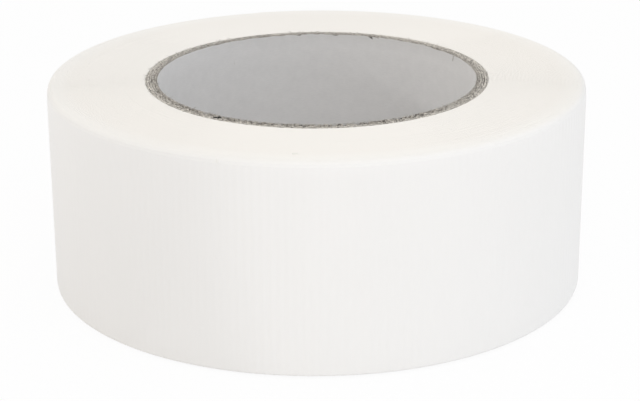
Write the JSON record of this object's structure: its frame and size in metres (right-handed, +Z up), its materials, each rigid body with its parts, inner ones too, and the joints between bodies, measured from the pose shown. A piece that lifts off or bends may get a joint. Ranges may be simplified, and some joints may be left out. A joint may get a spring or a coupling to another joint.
{
  "type": "roll of gaffer tape",
  "caption": "Roll of plain white cloth gaffer tape wound on a spiral-wound paper core, lying flat, with a free end that lifts from the outer turn.",
  "frame": {"origin": "on the axis of the roll, in the plane of its lower end face", "axes": "+Z up along the axis of the roll, +Y towards the free end of the tape"},
  "size_m": [0.1306, 0.1307, 0.05],
  "materials": {
    "liner_paper": "matte",
    "chipboard": "matte",
    "kraft_paper": "matte",
    "tape_edges": "matte",
    "tape_film": "satin"
  },
  "bodies": {
    "roll": {"core_liner_ply": "liner_paper", "core_board_ply_1": "chipboard", "core_board_ply_2": "chipboard", "core_board_ply_3": "chipboard", "core_board_ply_4": "chipboard", "core_outer_ply": "kraft_paper", "tape_wound_turns": "tape_edges", "tape_outer_turn": "tape_film"},
    "tape_end": {"tape_free_end": "tape_film"}
  },
  "joints": [
    {"name": "tape_end_peel", "type": "hinge", "parent": "roll", "child": "tape_end", "pos_m": [0.01733, 0.0631, 0.025], "axis": [0, 0, -1], "range_deg": [0, 150]}
  ]
}
